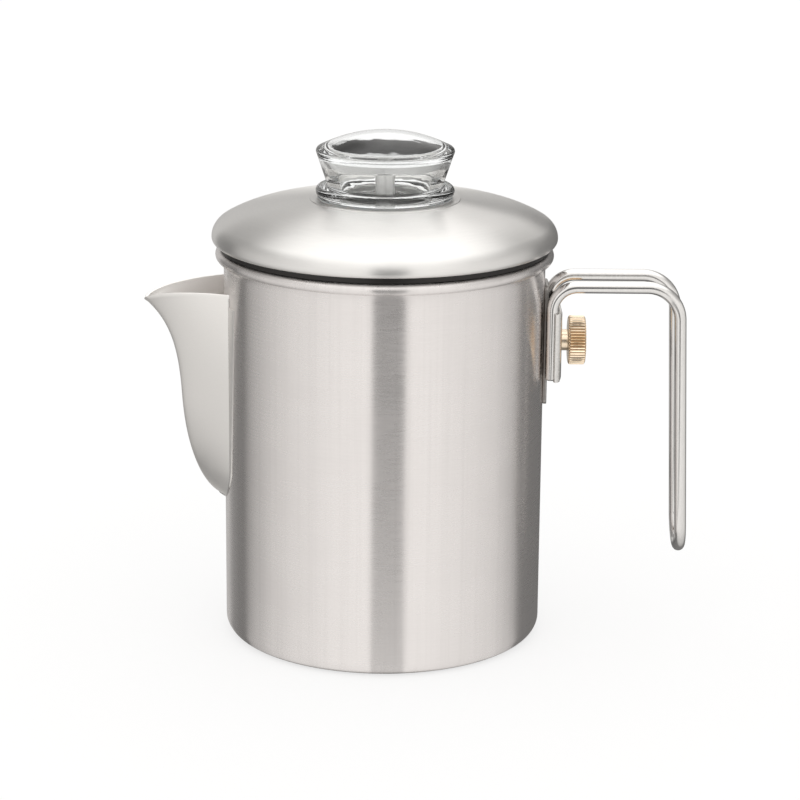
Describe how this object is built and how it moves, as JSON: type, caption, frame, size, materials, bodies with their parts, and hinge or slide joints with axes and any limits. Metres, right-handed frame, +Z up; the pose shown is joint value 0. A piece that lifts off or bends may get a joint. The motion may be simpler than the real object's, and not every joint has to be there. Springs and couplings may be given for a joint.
{
  "type": "coffee percolator",
  "caption": "Stovetop camping percolator: steel pot with a folded sheet spout, clamped rod handle, spun lid with a hollow glass knob, pump tube and basket.",
  "frame": {"origin": "centre of the pot's base, on the surface that it stands on", "axes": "+Z up along the pot's axis, +X towards the handle, -X towards the spout"},
  "size_m": [0.1796, 0.1128, 0.168],
  "materials": {
    "pot_steel": "brushed, streaks running up the wall",
    "spout_steel": "fine satin",
    "lid_steel": "spun satin",
    "rod_steel": "polished stainless rod",
    "clamp_steel": "pressed, lightly polished",
    "brass": "turned and straight knurled",
    "knob_glass": "clear pressed glass",
    "silicone": "matt translucent silicone",
    "pump_steel": "drawn tube, satin",
    "basket_steel": "satin"
  },
  "bodies": {
    "pot": {"pot_body": "pot_steel", "rim_bead": "pot_steel", "pour_spout": "spout_steel", "bracket_base": "pot_steel", "bracket_nut": "clamp_steel"},
    "handle": {"handle_frame": "rod_steel"},
    "clamp": {"clamp_saddle": "clamp_steel"},
    "screw": {"thumbscrew": "brass", "screw_retainer": "clamp_steel"},
    "lid": {"lid_shell": "lid_steel", "lid_locating_ring": "lid_steel", "lid_thread_ring": "lid_steel"},
    "gasket": {"knob_gasket": "silicone"},
    "knob": {"glass_knob": "knob_glass"},
    "pump": {"pump_tube": "pump_steel", "pump_bell": "pump_steel", "tube_ferrule": "pump_steel", "basket_stop": "pump_steel"},
    "basket": {"basket_cup": "basket_steel", "basket_sleeve": "basket_steel"},
    "spreader": {"spreader_plate": "basket_steel", "spreader_collar": "basket_steel"}
  },
  "joints": [
    {"name": "lid_lift", "type": "slide", "parent": "pot", "child": "lid", "axis": [0, 0, 1], "range_m": [0, 0.2]},
    {"name": "knob_rise", "type": "slide", "parent": "lid", "child": "gasket", "axis": [0, 0, 1], "range_m": [0, 0.0048]},
    {"name": "knob_turn", "type": "hinge", "parent": "gasket", "child": "knob", "pos_m": [0, 0, 0.15], "axis": [0, 0, 1], "range_deg": [0, 540]},
    {"name": "pump_lift", "type": "slide", "parent": "pot", "child": "pump", "axis": [0, 0, 1], "range_m": [0, 0.14]},
    {"name": "basket_slide", "type": "slide", "parent": "pump", "child": "basket", "axis": [0, 0, 1], "range_m": [0, 0.021]},
    {"name": "spreader_lift", "type": "slide", "parent": "basket", "child": "spreader", "axis": [0, 0, 1], "range_m": [0, 0.021]},
    {"name": "clamp_back_off", "type": "slide", "parent": "pot", "child": "clamp", "axis": [1, 0, 0], "range_m": [0, 0.0031]},
    {"name": "screw_turn", "type": "hinge", "parent": "clamp", "child": "screw", "pos_m": [0.058, 0, 0.099], "axis": [1, 0, 0], "range_deg": [0, 1350]},
    {"name": "handle_release", "type": "slide", "parent": "pot", "child": "handle", "axis": [1, 0, 0], "range_m": [0, 0.0028]}
  ],
  "couplings": [
    {"joint": "knob_rise", "follows": "knob_turn", "m_per_rad": 0.00047746},
    {"joint": "pump_lift", "follows": "lid_lift", "ratio": 0.66},
    {"joint": "basket_slide", "follows": "lid_lift", "ratio": 0.1},
    {"joint": "spreader_lift", "follows": "lid_lift", "ratio": 0.1},
    {"joint": "clamp_back_off", "follows": "screw_turn", "m_per_rad": 0.00012732},
    {"joint": "handle_release", "follows": "screw_turn", "m_per_rad": 0.00011459}
  ]
}
